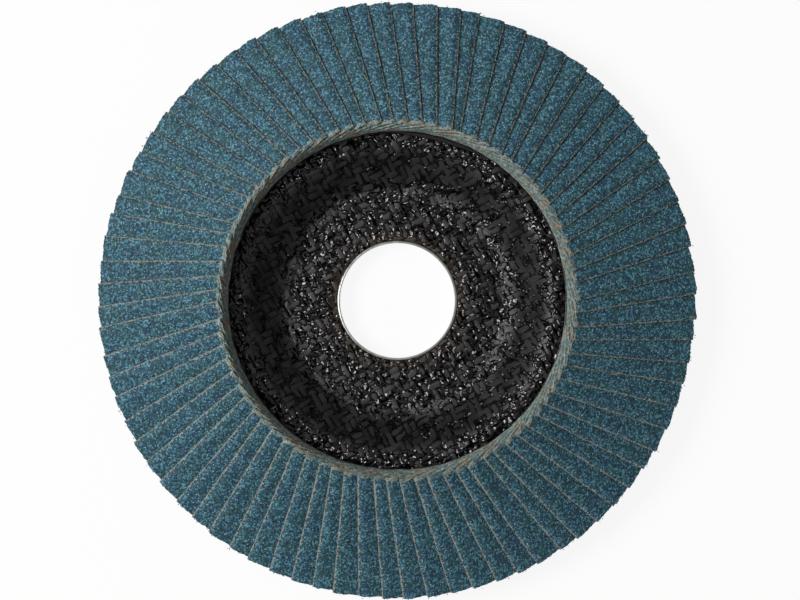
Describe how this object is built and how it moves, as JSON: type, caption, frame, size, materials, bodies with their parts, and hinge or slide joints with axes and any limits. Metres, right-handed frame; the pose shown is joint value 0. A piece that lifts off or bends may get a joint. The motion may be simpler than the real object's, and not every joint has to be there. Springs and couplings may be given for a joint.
{
  "type": "flap disc",
  "caption": "Conical abrasive flap disc for an angle grinder: overlapping zirconia cloth flaps fanned on a dished glass-fibre backing plate with a metal-lined bore",
  "frame": {"origin": "the centre of the bore on the hub's back face, where the grinder's flange clamps and on which the disc rests", "axes": "+Z is the bore's axis and points to the abrasive side; +X and +Y are in the clamping plane"},
  "size_m": [0.115, 0.115, 0.014],
  "materials": {
    "backing_plate": "pressed woven glass cloth in black phenolic resin, semi-gloss",
    "arbor_ring": "plain pressed sheet",
    "adhesive_bead": "cured epoxy, glossy",
    "abrasive_cloth": "blue zirconia grit bonded on tan polyester-cotton cloth"
  },
  "bodies": {
    "root": {"backing_plate": "backing_plate", "arbor_ring": "arbor_ring", "adhesive_bead": "adhesive_bead", "flap_pair_01": "abrasive_cloth", "flap_pair_02": "abrasive_cloth", "flap_pair_03": "abrasive_cloth", "flap_pair_04": "abrasive_cloth", "flap_pair_05": "abrasive_cloth", "flap_pair_06": "abrasive_cloth", "flap_pair_07": "abrasive_cloth", "flap_pair_08": "abrasive_cloth", "flap_pair_09": "abrasive_cloth", "flap_pair_10": "abrasive_cloth", "flap_pair_11": "abrasive_cloth", "flap_pair_12": "abrasive_cloth", "flap_pair_13": "abrasive_cloth", "flap_pair_14": "abrasive_cloth", "flap_pair_15": "abrasive_cloth", "flap_pair_16": "abrasive_cloth", "flap_pair_17": "abrasive_cloth", "flap_pair_18": "abrasive_cloth", "flap_pair_19": "abrasive_cloth", "flap_pair_20": "abrasive_cloth", "flap_pair_21": "abrasive_cloth", "flap_pair_22": "abrasive_cloth", "flap_pair_23": "abrasive_cloth", "flap_pair_24": "abrasive_cloth", "flap_pair_25": "abrasive_cloth", "flap_pair_26": "abrasive_cloth", "flap_pair_27": "abrasive_cloth", "flap_pair_28": "abrasive_cloth", "flap_pair_29": "abrasive_cloth", "flap_pair_30": "abrasive_cloth", "flap_pair_31": "abrasive_cloth", "flap_pair_32": "abrasive_cloth", "flap_pair_33": "abrasive_cloth", "flap_pair_34": "abrasive_cloth", "flap_pair_35": "abrasive_cloth", "flap_pair_36": "abrasive_cloth", "flap_pair_37": "abrasive_cloth", "flap_pair_38": "abrasive_cloth", "flap_pair_39": "abrasive_cloth", "flap_pair_40": "abrasive_cloth"}
  },
  "joints": []
}
